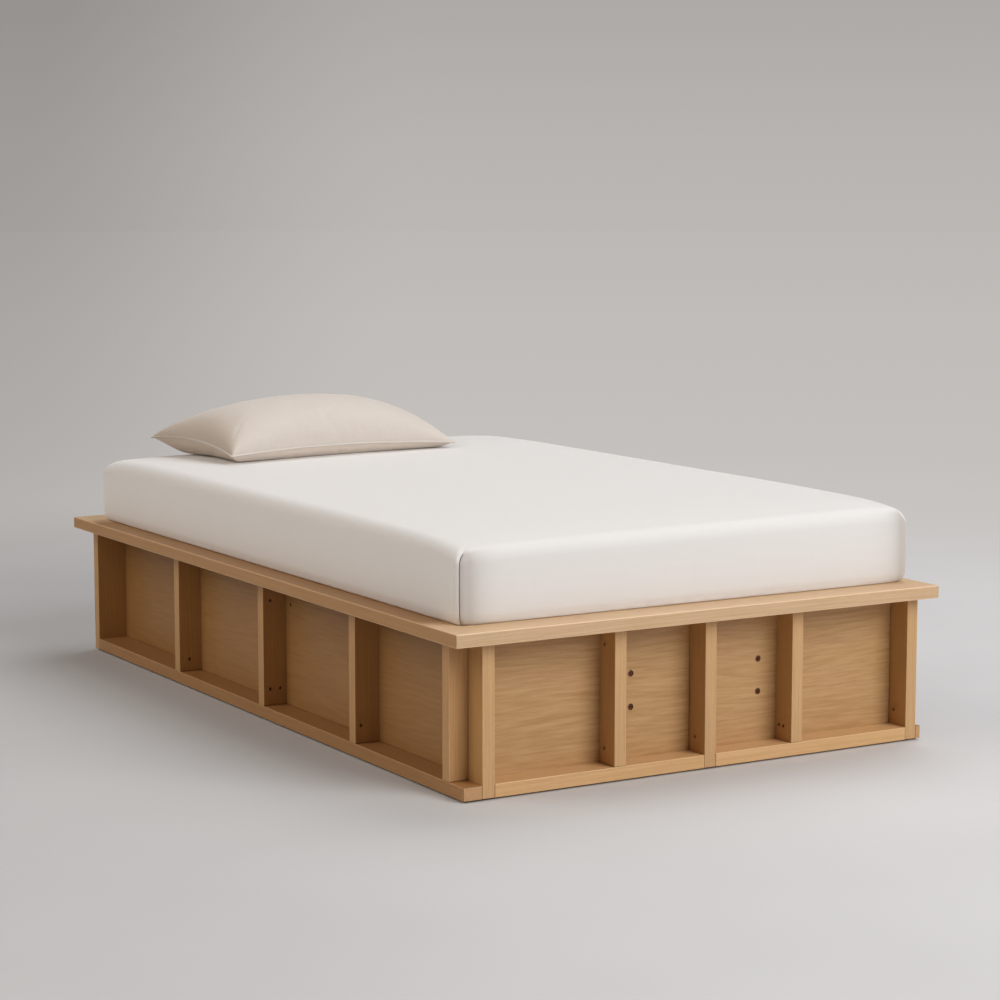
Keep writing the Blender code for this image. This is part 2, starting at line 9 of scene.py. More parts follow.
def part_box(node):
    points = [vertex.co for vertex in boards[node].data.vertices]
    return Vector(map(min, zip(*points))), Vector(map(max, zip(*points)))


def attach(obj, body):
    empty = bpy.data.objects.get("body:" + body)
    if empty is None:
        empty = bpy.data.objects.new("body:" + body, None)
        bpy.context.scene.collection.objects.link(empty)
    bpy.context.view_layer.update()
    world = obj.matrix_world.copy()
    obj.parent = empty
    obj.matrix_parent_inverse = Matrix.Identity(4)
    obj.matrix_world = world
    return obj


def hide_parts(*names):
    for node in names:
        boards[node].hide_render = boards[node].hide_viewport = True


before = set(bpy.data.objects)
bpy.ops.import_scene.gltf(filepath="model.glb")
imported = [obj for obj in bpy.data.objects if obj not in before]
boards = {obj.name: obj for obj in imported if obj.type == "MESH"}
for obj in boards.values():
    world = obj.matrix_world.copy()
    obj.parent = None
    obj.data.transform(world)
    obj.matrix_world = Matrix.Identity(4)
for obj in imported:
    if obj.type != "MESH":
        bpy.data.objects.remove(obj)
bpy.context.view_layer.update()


# Frame boards of the base
# Oak boards 30 mm thick, planed, sanded, oiled and rubbed along their edges. The bottom boards
# and rails lie along the floor; the posts, dividers and end panels stand upright on and between
# them, glued and screwed. The grain runs along the length of every board. The eased edges are
# painted lighter, partly as rubbed wear and partly as a painted highlight, and some faces are
# painted darker as painted shade, by which way they face and where they stand in the bed.

class Wire:
    """An output of a node. Arithmetic between wires adds Math nodes."""

    def __init__(self, nodes, socket):
        self.nodes = nodes
        self.socket = socket

    def out(self, name):
        return Wire(self.nodes, self.socket.node.outputs[name])

    def math(self, operation, *others):
        return self.nodes.add("Math", {"operation": operation}, dict(enumerate((self, *others))))

    def __add__(self, other):
        return self.math("ADD", other)

    __radd__ = __add__

    def __sub__(self, other):
        return self.math("SUBTRACT", other)

    def __rsub__(self, other):
        return self.nodes.add("Math", {"operation": "SUBTRACT"}, {0: other, 1: self})

    def __mul__(self, other):
        return self.math("MULTIPLY", other)

    __rmul__ = __mul__

    def __truediv__(self, other):
        return self.math("DIVIDE", other)

    def __abs__(self):
        return self.math("ABSOLUTE")

    def over(self, limit):
        return self.math("GREATER_THAN", limit)

    def soft_step(self, low, high):
        """0 below low, 1 above high, and a smooth turn between them."""
        return self.nodes.add("MapRange", {"interpolation_type": "SMOOTHSTEP"},
                              {0: self, 1: low, 2: high})


class Nodes:
    """The nodes of one material, or of the world."""

    def __init__(self, tree):
        self.tree = tree

    def add(self, kind, settings=None, inputs=None, output=0):
        """A node of that type: its settings are made first, then its inputs get values or wires."""
        node = self.tree.nodes.new("ShaderNode" + kind)
        for name, value in (settings or {}).items():
            if name == "stops":
                self.set_stops(node.color_ramp.elements, value)
            else:
                setattr(node, name, value)
        for name, value in (inputs or {}).items():
            self.set_input(node, name, value)
        return Wire(self, node.outputs[output])

    def set_stops(self, elements, stops):
        for element, (place, colour) in zip(elements, (stops[0], stops[-1])):
            element.position = place
            element.color = (*colour, 1.0)
        for place, colour in stops[1:-1]:
            elements.new(place).color = (*colour, 1.0)

    def set_input(self, node, name, value):
        socket = node.inputs[name]
        if isinstance(value, Wire):
            self.tree.links.new(value.socket, socket)
        elif socket.type == "RGBA":
            socket.default_value = (*value, 1.0)
        else:
            socket.default_value = value

    def mix(self, share, first, second, kind="MIX"):
        """One colour turning into another."""
        return self.add("Mix", {"data_type": "RGBA", "blend_type": kind},
                        {0: share, 6: first, 7: second}, output=2)

    def speckle(self, x, y, z, detail=0.0):
        """Soft noise at that place, with features about one unit long."""
        place = self.add("CombineXYZ", inputs={0: x, 1: y, 2: z})
        return self.add("TexNoise", inputs={"Vector": place, "Scale": 1.0, "Detail": detail})

    def bands(self, along, scale, detail=0.0):
        """Soft noise that changes along one measure only."""
        return self.add("TexNoise", {"noise_dimensions": "1D"},
                        {"W": along, "Scale": scale, "Detail": detail})


class Finish(Nodes):
    """A named material with its shader."""

    def __init__(self, name):
        self.material = bpy.data.materials.new(name)
        self.material.use_nodes = True
        super().__init__(self.material.node_tree)
        self.shader = self.tree.nodes["Principled BSDF"]

    def finish_with(self, colour, roughness, height, depth, strength=1.0, **others):
        """Link the colour, the roughness and a relief of that height and depth to the shader."""
        relief = self.add("Bump", inputs={"Height": height, "Distance": depth,
                                          "Strength": strength})
        wanted = {"Base Color": colour, "Roughness": roughness, "Normal": relief, **others}
        for name, value in wanted.items():
            self.set_input(self.shader, name.replace("_", " "), value)

    def put_on(self, *names):
        """Give this material to boards of the frame."""
        for name in names:
            for slot in boards[name].material_slots:
                slot.material = self.material


def wood(name, grain, face, pale, deep, leaf=False, painted_shade_tints=None, painted_shade_stops_at=None):
    """Wood cut from one log: yearly rings, fibres, pores, rubbed edges and darker end grain.

    The grain runs along one axis, and the board's broad face looks along another. A leaf is wide,
    so its rings stand further apart and wander more. The faces that look along an axis can be
    painted darker, as painted shade by which way they face. On the broad face that painted shade
    can stop at a distance from the bed's middle, as a painted shadow that clears towards the ends.
    Eased edges are painted lighter: partly rubbed wear and partly a painted highlight.
    """
    finish = Finish(name)
    across = ({"X", "Y", "Z"} - {grain, face}).pop()
    place = finish.add("SeparateXYZ", inputs={0: finish.add("TexCoord", output="Object")})
    normal = finish.add("SeparateXYZ", inputs={0: finish.add("NewGeometry", output="True Normal")})
    board = finish.add("ObjectInfo", output="Random")
    length = place.out(grain) + board * 23.0
    width = place.out(across)
    depth = place.out(face)

    # Lengths are in metres, so each factor is about how many features lie in a metre of board
    wander = finish.speckle(length * 1.1, width * 3.5 + board * 9.0, depth * 3.5, 1.0) - 0.5
    if leaf:
        ring = width * 0.45 + depth * 0.3 + wander * 0.11 + board * 3.0
        streaks = finish.speckle(length * 11.0, (width + wander * 0.07) * 150.0, depth * 150.0, 3.0)
    else:
        ring = width * 0.8 + depth * 0.6 + wander * 0.03 + board * 3.0
        streaks = finish.speckle(length * 7.0, width * 330.0, depth * 330.0, 2.0)
    rings = finish.bands(ring, 300.0, 2.0)
    fibre = finish.speckle(length * 26.0, width * 900.0, depth * 900.0, 1.0)
    pores = finish.speckle(length * 60.0, width * 1500.0, depth * 1500.0, 1.0).soft_step(0.58, 0.70)
    ring_share = 0.16 if leaf else 0.32
    tone = rings * ring_share + streaks * (0.80 - ring_share) + fibre * 0.20 + (board - 0.5) * 0.10
    spread = 0.25 if leaf else 0.22
    colour = finish.mix(tone.soft_step(0.5 - spread, 0.5 + spread), deep, pale)
    clouds = finish.speckle(length * 4.0, width * 9.0, depth * 9.0, 2.0)
    rosy = clouds.soft_step(0.45, 0.72) * 0.4
    golden = (1.0 - clouds).soft_step(0.45, 0.72) * 0.4
    colour = finish.mix(rosy, colour, (1.02, 0.95, 0.98), "MULTIPLY")
    colour = finish.mix(golden, colour, (0.98, 0.98, 0.88), "MULTIPLY")
    colour = finish.mix(pores * (1.1 - rings) * 0.25, colour, tuple(0.5 * part for part in deep))

    # Painted shade by facing; on the broad face it can clear towards the ends, as a painted shadow
    for axis, painted_shade_tint in (painted_shade_tints or {}).items():
        share = abs(normal.out(axis)).soft_step(0.7, 0.95)
        if painted_shade_stops_at and axis == face:
            share *= 1.0 - abs(place.out(grain)).soft_step(painted_shade_stops_at, painted_shade_stops_at + 0.10)
        colour = finish.mix(share, colour, painted_shade_tint, "MULTIPLY")
    along_grain = abs(normal.out(grain))
    edge = abs(normal.out(across) * normal.out(face))
    # Eased edges painted lighter: partly rubbed wear, partly a painted highlight
    rubbed_and_highlit = edge.soft_step(0.15, 0.35)
    bored = (along_grain * (1.0 - along_grain * along_grain).math("SQRT")).soft_step(0.12, 0.24)
    colour = finish.mix(rubbed_and_highlit * 0.4, colour, tuple(min(1.0, 1.3 * part) for part in pale))
    end_grain = along_grain.soft_step(0.7, 0.95)
    colour = finish.mix(end_grain * 0.35, colour, (0.72, 0.62, 0.55), "MULTIPLY")
    colour = finish.mix(bored * 0.6, colour, tuple(0.35 * part for part in deep))
    roughness = 0.40 + fibre * 0.14 - rubbed_and_highlit * 0.05
    finish.finish_with(colour, roughness, streaks * 0.4 + rings * 0.2 - pores * 0.6, 0.0003, 0.4)
    return finish


frame_pale = (0.615, 0.372, 0.178)
frame_deep = (0.510, 0.292, 0.122)

# Painted shade: the bottom boards' outer faces and tops are painted darker
long_boards = wood("oak_along_the_sides", "Y", "Z", frame_pale, frame_deep,
                   painted_shade_tints={"X": (0.71, 0.60, 0.47), "Z": (0.57, 0.46, 0.34)})
long_boards.put_on("left_bottom_board", "right_bottom_board")

foot_rails = wood("oak_along_the_foot", "X", "Z", (0.700, 0.425, 0.200), (0.590, 0.338, 0.140))
foot_rails.put_on("foot_left_rail", "foot_right_rail")

# Painted shade on the uprights' sides, which look along X
foot_uprights = wood("oak_foot_uprights", "Z", "X", frame_pale, frame_deep,
                      painted_shade_tints={"X": (0.85, 0.77, 0.60)})
foot_uprights.put_on("foot_left_post", "foot_left_divider", "foot_middle_divider",
                     "foot_right_divider", "foot_right_post")

# A darker copy of the frame's oak, as painted shade on the foot end panels and along the sides; the
# side uprights are painted darker still on their faces that look along Y, as painted shade
end_uprights = wood("oak_end_uprights", "Z", "Y", (0.560, 0.318, 0.132), (0.462, 0.247, 0.088))
end_uprights.put_on("left_foot_end_panel", "right_foot_end_panel")

side_uprights = wood("oak_side_uprights", "Z", "Y", (0.560, 0.318, 0.132), (0.462, 0.247, 0.088),
                     painted_shade_tints={"Y": (0.76, 0.67, 0.50)})
for side in ("left", "right"):
    side_uprights.put_on(side + "_head_end_panel",
                         *(side + "_divider_%d" % number for number in (1, 2, 3)))


# Panels behind the bays
# Thinner oak-faced boards that close the back of every bay and the head end. Their faces are wide
# leaves laid with the grain level, so long soft bands and streaks run from side to side.

panel_pale = (0.545, 0.325, 0.146)
panel_deep = (0.405, 0.216, 0.074)

foot_backs = wood("oak_foot_panels", "X", "Y", panel_pale, panel_deep, leaf=True)
foot_backs.put_on("foot_left_panel", "foot_right_panel", "head_panel")

# A darker copy of the panels' oak, as painted shade in the side bays
side_backs_in_painted_shade = wood("oak_side_panels", "Y", "X", (0.388, 0.199, 0.068), (0.318, 0.154, 0.044),
                  leaf=True)
for side in ("left", "right"):
    side_backs_in_painted_shade.put_on(*(side + "_back_panel_%d" % number for number in (1, 2, 3, 4)))


# Boards inside the base, and the slats
# Plain pale wood, planed and left without oil. Two boards on edge run from foot to head and a
# ledge runs along each side; the slats lie across them, under the mattress.

inner_pale = (0.69, 0.54, 0.36)
inner_deep = (0.56, 0.41, 0.25)

inner_lengths = wood("plain_wood_along_the_bed", "Y", "X", inner_pale, inner_deep)
inner_lengths.put_on("left_support_board", "right_support_board",
                     "left_slat_ledge", "right_slat_ledge")

slats = wood("plain_wood_slats", "X", "Z", inner_pale, inner_deep)
slats.put_on(*("slat_%d" % number for number in range(1, 10)))


# Connector bolts in the foot
# Bronzed steel socket heads, sunk in counterbores in the two foot panels. They draw the foot
# against the ends of the support boards. The bronze is worn bright along the turned edges.

bronze = Finish("bronzed_steel")
turned = bronze.add("SeparateXYZ", inputs={0: bronze.add("TexCoord", output="Object")})
steel_normal = bronze.add("NewGeometry", output="True Normal")
facing_out = abs(bronze.add("SeparateXYZ", inputs={0: steel_normal}).out("Y"))
tarnish = bronze.speckle(*(turned.out(axis) * 900.0 for axis in "XYZ"), 3.0)
bright_edge = (facing_out * (1.0 - facing_out)).soft_step(0.10, 0.20)
bronze_colour = bronze.mix(tarnish.soft_step(0.35, 0.7), (0.145, 0.050, 0.030),
                           (0.27, 0.115, 0.075))
bronze_colour = bronze.mix(bright_edge * 0.7, bronze_colour, (0.55, 0.31, 0.22))
bronze.finish_with(bronze_colour, 0.34 + tarnish * 0.22, tarnish, 0.0001, 0.4, Metallic=0.85)
bronze.put_on("left_lower_connector_bolt", "left_upper_connector_bolt",
              "right_lower_connector_bolt", "right_upper_connector_bolt")


# Felt strips under the base
# Dark pressed felt, glued under the four sides and set in from their faces, so the bed stands
# on a thin line of shadow. Short fibres lie in every direction.

felt = Finish("dark_felt")
strip = felt.add("SeparateXYZ", inputs={0: felt.add("TexCoord", output="Object")})
nap = felt.speckle(*(strip.out(axis) * 2600.0 for axis in "XYZ"), 3.0)
pressed = felt.speckle(*(strip.out(axis) * 160.0 for axis in "XYZ"), 2.0)
felt_colour = felt.mix((nap * 0.7 + pressed * 0.3).soft_step(0.3, 0.7), (0.022, 0.020, 0.019),
                       (0.070, 0.064, 0.060))
felt.finish_with(felt_colour, 0.92 + nap * 0.08, nap, 0.0006, 0.8)
felt.put_on("left_felt_strip", "right_felt_strip", "foot_felt_strip", "head_felt_strip")


# Deck
# Four wide oak boards, mitred at the corners and oiled, that overhang the base all round and
# hold the slats between them. They are a little paler than the base, and their tone is painted
# lighter still as painted light on their tops. The side boards are painted darker on their outer
# faces as painted shade, and on their tops as the mattress's painted shadow, which clears towards
# the corners; the end boards' faces that look along the bed are painted darker as painted shade.

# Painted lighter than the deck's own tone, as painted light on the tops
deck_pale = (0.735, 0.500, 0.295)
deck_deep = (0.620, 0.408, 0.224)

# Painted shade on the outer faces, and the mattress's painted shadow on the tops, clearing at the
# ends
deck_lengths = wood("oak_deck_sides", "Y", "Z", deck_pale, deck_deep,
                    painted_shade_tints={"X": (0.65, 0.515, 0.35), "Z": (0.565, 0.422, 0.251)}, painted_shade_stops_at=0.90)
deck_lengths.put_on("deck_left_board", "deck_right_board")

# Painted shade on the end boards' faces that look along Y
deck_ends = wood("oak_deck_ends", "X", "Z", deck_pale, deck_deep, painted_shade_tints={"Y": (0.87, 0.86, 0.84)})
deck_ends.put_on("deck_foot_board", "deck_head_board")


# Mattress in its fitted cover
# A firm foam mattress with soft top edges, in a smooth cotton cover pulled tight and tucked
# under. The cover has an upright seam at each corner, where the cloth is pinched in and down.

rest_low, rest_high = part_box("mattress")
bed_middle = (rest_low + rest_high) / 2
bed_floor = rest_low.z
half_width = 0.600
half_length = 1.000
plan_half = Vector((half_width, half_length))
plan_radius = 0.016
cover_height = 0.174
crown_height = 0.015
corner_drop = 0.008
corner_drop_reach = 0.160
right_lift = 0.006
stand_out = 0.012
side_bulge = 0.001
tuck_under = 0.001
tuck_height = 0.030
top_round_width = 0.036
top_round_height = 0.034


def grid_lines(half, edge_offsets, step):
    """Lines across the mattress: set close by the corner seams, and even between."""
    inner = half - edge_offsets[-1]
    count = round(2 * inner / step)
    even = [-inner + 2 * inner * i / count for i in range(1, count)]
    near_edge = [half - offset for offset in edge_offsets]
    return [-place for place in near_edge] + even + near_edge[::-1]


def plan_point(x, y, inset):
    """A point of the square-cornered grid, moved on to the round-cornered outline at that inset."""
    placed = []
    over = [max(0.0, abs(value) - half + plan_radius) / plan_radius
            for value, half in zip((x, y), plan_half)]
    for i, value in enumerate((x, y)):
        reach = plan_half[i] - plan_radius
        straight = min(abs(value), reach) * (reach - inset) / reach
        rounded = plan_radius * over[i] * math.sqrt(1 - over[1 - i] ** 2 / 2)
        placed.append(math.copysign(straight + rounded, value))
    return placed


def side_profile(rows):
    """Insets and heights up the side: the tucked bottom, the upright side, the round top edge."""
    low, middle, edge = rows
    points = []
    for i in range(low):
        turn = math.pi / 2 * i / low
        inset = tuck_under - (tuck_under + stand_out) * math.sin(turn)
        points.append((inset, tuck_height * (1 - math.cos(turn))))
    side_height = cover_height - tuck_height - top_round_height
    for i in range(middle):
        share = i / middle
        bulge = side_bulge * math.sin(math.pi * share)
        points.append((-stand_out - bulge, tuck_height + side_height * share))
    for i in range(edge + 1):
        turn = math.pi / 2 * i / edge
        points.append((top_round_width * (1 - math.cos(turn)) - stand_out,
                       cover_height - top_round_height * (1 - math.sin(turn))))
    return points


def crown_at(x, y):
    """How far the top stands above its height at the ends.

    It lies a little lower to the left and in the corners.
    """
    share_x = min(1.0, abs(x) / plan_half.x)
    share_y = min(1.0, abs(y) / plan_half.y)
    to_corner = (Vector((abs(x), abs(y))) - plan_half).length
    drop = corner_drop * max(0.0, 1 - to_corner / corner_drop_reach) ** 2
    crown = crown_height * (1 - share_y ** 6) * (1 - 0.2 * share_x ** 4)
    return crown - drop + right_lift * x / plan_half.x


def cover_point(x, y, inset, height):
    """A point of the cover, raised with the crown by as much as it lies above the tuck."""
    x, y = plan_point(x, y, inset)
    share = max(0.0, height - tuck_height) / (cover_height - tuck_height)
    return x, y, height + share * crown_at(x, y)


def way_round(last_x, last_y):
    """The outer places of a grid, in turn."""
    return ([(i, 0) for i in range(last_x)]
            + [(last_x, j) for j in range(last_y)]
            + [(i, last_y) for i in range(last_x, 0, -1)]
            + [(0, j) for j in range(last_y, 0, -1)])


def cover_mesh(name, edge_offsets, step, rows):
    """A closed cover: a grid below, a band of rows round the sides and a crowned grid on top."""
    xs = grid_lines(plan_half.x, edge_offsets, step)
    ys = grid_lines(plan_half.y, edge_offsets, step)
    profile = side_profile(rows)
    last_x, last_y = len(xs) - 1, len(ys) - 1
    border = way_round(last_x, last_y)
    bm = bmesh.new()
    rings = []
    for inset, height in profile:
        rings.append({(i, j): bm.verts.new(cover_point(xs[i], ys[j], inset, height))
                      for i, j in border})
    for ring, above in zip(rings, rings[1:]):
        for place, following in zip(border, border[1:] + border[:1]):
            bm.faces.new((ring[place], ring[following], above[following], above[place]))
    for ring, inset, height, on_top in ((rings[0], profile[0][0], 0.0, False),
                                        (rings[-1], profile[-1][0], cover_height, True)):
        grid = dict(ring)
        for i in range(1, last_x):
            for j in range(1, last_y):
                grid[i, j] = bm.verts.new(cover_point(xs[i], ys[j], inset, height))
        for i in range(last_x):
            for j in range(last_y):
                around = [grid[i, j], grid[i + 1, j], grid[i + 1, j + 1], grid[i, j + 1]]
                bm.faces.new(around if on_top else around[::-1])
    mesh = bpy.data.meshes.new(name)
    bm.to_mesh(mesh)
    bm.free()
    return mesh


def new_piece(name, mesh, finish):
    """Put a mesh into the scene as an object of that name."""
    piece = bpy.data.objects.new(name, mesh)
    bpy.context.scene.collection.objects.link(piece)
    if finish:
        mesh.materials.append(finish.material)
    mesh.shade_smooth()
    return piece


def fill_out(piece, held, pressure, slack, frames):
    """Swell a cover by a short cloth simulation, and return how far each point moves."""
    start = [vertex.co.copy() for vertex in piece.data.vertices]
    piece.vertex_groups.new(name="held").add(held, 1.0, "REPLACE")
    cloth = piece.modifiers.new("filling", "CLOTH")
    cloth.settings.quality = 6
    cloth.settings.mass = 0.2
    cloth.settings.tension_stiffness = 25.0
    cloth.settings.compression_stiffness = 10.0
    cloth.settings.shear_stiffness = 5.0
    cloth.settings.bending_stiffness = 0.4
    cloth.settings.use_pressure = True
    cloth.settings.uniform_pressure_force = pressure
    cloth.settings.shrink_min = -slack
    cloth.settings.vertex_group_mass = "held"
    cloth.settings.effector_weights.gravity = 0.0
    cloth.collision_settings.use_collision = False
    cloth.point_cache.frame_start = 1
    cloth.point_cache.frame_end = frames
    for step in range(1, frames + 1):
        bpy.context.scene.frame_set(step)
    swollen = piece.evaluated_get(bpy.context.evaluated_depsgraph_get()).data
    moves = [vertex.co - before for vertex, before in zip(swollen.vertices, start)]
    piece.modifiers.remove(cloth)
    piece.vertex_groups.clear()
    bpy.context.scene.frame_set(1)
    return moves


def capped(move, most):
    """The same move, eased off so that it never goes further than the most allowed."""
    far = move.length
    return move if far == 0 else move * (most * math.tanh(far / most) / far)


def ridge(distance, width):
    """1 on a line, and falling softly to 0 on both sides of it."""
    return math.exp(-(distance / width) ** 2)


# The lines lie close together by the corner seams, where a narrow groove is pressed in
seam_offsets = (0.0, 0.0005, 0.0010, 0.0016, 0.0023, 0.0031, 0.0041, 0.0053,
                0.0068, 0.0086, 0.0120, 0.0160, 0.0210, 0.0270, 0.0340, 0.0430)
cover = cover_mesh("mattress_cover", seam_offsets, 0.012, (9, 12, 14))
corner_reach = plan_half - Vector((plan_radius, plan_radius))
most_swell = 0.003

# A coarser copy of the cover is swollen, and its moves are carried over to the fine one
rough_mesh = cover_mesh("rough_cover", (0.0, 0.012, 0.028), 0.016, (3, 6, 5))
rough_cover = new_piece("rough_cover", rough_mesh, None)
tucked = [vertex.index for vertex in rough_cover.data.vertices if vertex.co.z < 0.012]
swell = fill_out(rough_cover, tucked, 3.0, 0.004, 16)
nearest = KDTree(len(swell))
for vertex in rough_cover.data.vertices:
    nearest.insert(vertex.co, vertex.index)
nearest.balance()
for vertex in cover.vertices:
    near = nearest.find_n(vertex.co, 4)
    weights = [1.0 / (distance + 0.001) for place, index, distance in near]
    moves = [swell[index] * weight for (place, index, distance), weight in zip(near, weights)]
    move = sum(moves, Vector()) / sum(weights)
    from_corner = (Vector((abs(vertex.co.x), abs(vertex.co.y))) - plan_half).length
    vertex.co += capped(move, most_swell) * (1 - ridge(from_corner, 0.10))
bpy.data.objects.remove(rough_cover)


# How deep the cloth lies in a seam, and how hard it is pulled towards one. From these the finish
# paints shade: a dark painted line in the groove and painted shade beside the seam.
seam_depth = cover.attributes.new("seam_depth", "FLOAT", "POINT")
pulled = cover.attributes.new("pulled", "FLOAT", "POINT")
cover.update()
seam_top = 0.155
groove_width = 0.0011
groove_depth = 0.0040
hollow_width = 0.010
hollow_depth = 0.0010
pinch_height = 0.013
pinch_depth = 0.0020
drawn_width = 0.028
drawn_depth = 0.0045
pucker_depth = 0.0016
sway_depth = 0.0012
outward = [Vector(item.vector) for item in cover.vertex_normals]
for vertex, normal in zip(cover.vertices, outward):
    place = vertex.co.copy()
    from_corner = Vector((abs(place.x), abs(place.y))) - corner_reach
    beside = abs(from_corner.x - from_corner.y) * math.sqrt(0.5)
    above_seam = max(0.0, place.z - seam_top)
    reach = ridge(above_seam, 0.004)
    if from_corner.x > -0.02 and from_corner.y > -0.02:
        pinch = ridge(place.z - seam_top, pinch_height)
        groove = reach * ridge(beside, groove_width + 0.0007 * pinch)
        pressed_in = groove_depth * groove + hollow_depth * reach * ridge(beside, hollow_width)
        pressed_in += pinch_depth * pinch * ridge(beside, 0.007)
        vertex.co -= normal * pressed_in
        seam_depth.data[vertex.index].value = groove
    # The foot and head faces are drawn in towards their seams
    end_share = min(1.0, max(0.0, from_corner.y / plan_radius)) ** 2
    beside_seam = math.exp(min(0.0, from_corner.x) / drawn_width) * end_share
    beside_seam *= ridge(above_seam, 0.022)
    # The draw beside the seam on the foot and head faces is kept for the painted shade there
    if from_corner.y > from_corner.x:
        pulled.data[vertex.index].value = beside_seam
    vertex.co.y -= math.copysign(drawn_depth * beside_seam, place.y)
    # Small puckers above the tucked edge, and a slight sway in every face
    along = place.x + place.y * 1.3
    tuck = math.exp(-max(0.0, place.z - 0.004) / 0.030) * min(1.0, place.z / 0.006)
    pucker = noise.noise(Vector((along * 17.0, place.z * 5.0, 3.0))) * pucker_depth * tuck
    sway = noise.noise(Vector((place.x * 3.0, place.y * 3.0, place.z * 6.0 + 7.0))) * sway_depth
    vertex.co += normal * (pucker + sway * min(1.0, place.z / 0.03))

cover.transform(Matrix.Translation((bed_middle.x, bed_middle.y, bed_floor)))


def weave(cloth, pitch, turn=0.0):
    """The relief of a plain weave, laid flat on whichever main plane the surface faces."""
    coordinates = cloth.add("TexCoord", output="Object")
    if turn:
        coordinates = cloth.add("VectorRotate", {"rotation_type": "Z_AXIS"},
                                {"Vector": coordinates, "Angle": -turn})
    place = cloth.add("SeparateXYZ", inputs={0: coordinates})
    normal = cloth.add("SeparateXYZ", inputs={0: cloth.add("NewGeometry", output="Normal")})
    on_top = abs(normal.out("Z")).over(0.6)
    on_side = (abs(normal.out("X")) - abs(normal.out("Y"))).over(0.0) * (1.0 - on_top)
    first = place.out("X") * (1.0 - on_side) + place.out("Y") * on_side
    second = place.out("Y") * on_top + place.out("Z") * (1.0 - on_top)
    warp = (first * (math.pi / pitch)).math("SINE")
    weft = (second * (math.pi / pitch)).math("SINE")
    warp_over = (warp * weft).over(0.0)
    warp_round = abs(warp) * (0.6 + abs(weft) * 0.4)
    weft_round = abs(weft) * (0.6 + abs(warp) * 0.4)
    threads = warp_round * warp_over + weft_round * (1.0 - warp_over)
    slubs = (cloth.speckle(first * 12.0, second * 700.0, 0.0, 2.0)
             + cloth.speckle(first * 700.0, second * 12.0, 5.0, 2.0)) * 0.5
    return threads, slubs


cotton = Finish("fitted_cover_cotton")
threads, slubs = weave(cotton, 0.00045)
in_seam = cotton.add("Attribute", {"attribute_name": "seam_depth"}, output="Fac")
pinch_shade_share = cotton.add("Attribute", {"attribute_name": "pulled"}, output="Fac")
yarn = (threads * 0.4 + slubs * 0.6).soft_step(0.25, 0.75)
cotton_colour = cotton.mix(yarn, (0.748, 0.712, 0.678), (0.800, 0.766, 0.732))
cotton_normal = cotton.add("SeparateXYZ", inputs={0: cotton.add("NewGeometry", output="Normal")})
# Painted light: the cover's left face is painted a little lighter
painted_light_on_left_face = (0.0 - cotton_normal.out("X")).soft_step(0.6, 0.95)
cotton_colour = cotton.mix(painted_light_on_left_face, cotton_colour, (1.07, 1.06, 1.04), "MULTIPLY")
# Painted shade beside the corner seams, where the cloth is drawn in
cotton_colour = cotton.mix(pinch_shade_share, cotton_colour, (0.70, 0.67, 0.64), "MULTIPLY")
# Painted shade in the seam groove: a dark line laid into it
cotton_colour = cotton.mix(in_seam.soft_step(0.4, 0.85) * 0.9, cotton_colour, (0.16, 0.14, 0.12))
cotton.finish_with(cotton_colour, 0.82 + threads * 0.1, threads * 0.6 + slubs * 0.4, 0.00025, 0.5,
                   Sheen_Weight=0.25, Sheen_Roughness=0.5)

mattress_cover = new_piece("mattress_cover", cover, cotton)
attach(mattress_cover, "mattress")
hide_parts("mattress")


# Pillow
# Two sheets of oatmeal linen, sewn together round their edges with a thin piping in the seam,
# and filled so that the middle stands full and the corners stay flat and pointed.

pillow_width = 0.710
pillow_depth = 0.440
pillow_height = 0.157
side_draw = 0.018
near_seam = 0.022
far_seam = 0.051
seam_lift = 0.012
fullness = 0.40
resting_gap = 0.0006
pillow_turn = math.radians(3.0)
from_left_side = 0.152
from_head = 0.008
pillow_place = Vector((-half_width + from_left_side + pillow_width / 2,
                       half_length - from_head - pillow_depth / 2))


def seam_height(across, along):
    """The height of the seam above the mattress. It hangs lowest at the near corners."""
    height = near_seam + (far_seam - near_seam) * (1 + along) / 2 - 0.004 * across
    return height + seam_lift * (1 - across ** 2 * along ** 2)


def on_cover(x, y):
    """A point of the pillow's plan, and the height of the mattress's top under it."""
    turned = pillow_place + Matrix.Rotation(pillow_turn, 2) @ Vector((x, y))
    return turned, cover_height + crown_at(turned.x, turned.y)


def pillow_point(across, along, upper):
    """A point of the upper or the lower sheet, both places running from -1 to 1."""
    x = across * (pillow_width / 2 - side_draw * (1 - along ** 2))
    y = along * (pillow_depth / 2 - side_draw * (1 - across ** 2))
    x -= (0.004 + 0.011 * along) * max(0.0, -across) ** 2
    seam = seam_height(across, along)
    if upper:
        slope = fullness + 0.11 * max(0.0, across)
        plump = max(0.0, (1 - across ** 2) * (1 - along ** 2)) ** slope
        height = seam + (pillow_height - seam) * plump
    else:
        from_edge = min(pillow_width / 2 * (1 - abs(across)), pillow_depth / 2 * (1 - abs(along)))
        reach = seam * (1.3 + 0.9 * across ** 4 * along ** 4)
        lip = 0.003 * min(1.0, from_edge / reach) * max(0.0, 1 - max(0.0, from_edge - reach) / 0.03)
        height = seam * max(0.0, 1 - from_edge / reach) ** 2 + lip + resting_gap
    turned, top = on_cover(x, y)
    return Vector((bed_middle.x + turned.x, bed_middle.y + turned.y, bed_floor + top + height))


def even_and_close(i, count):
    """From -1 to 1 in steps that are even in the middle and closer by the seam."""
    share = 2 * i / count - 1
    return 0.35 * share + 0.65 * math.sin(math.pi / 2 * share)


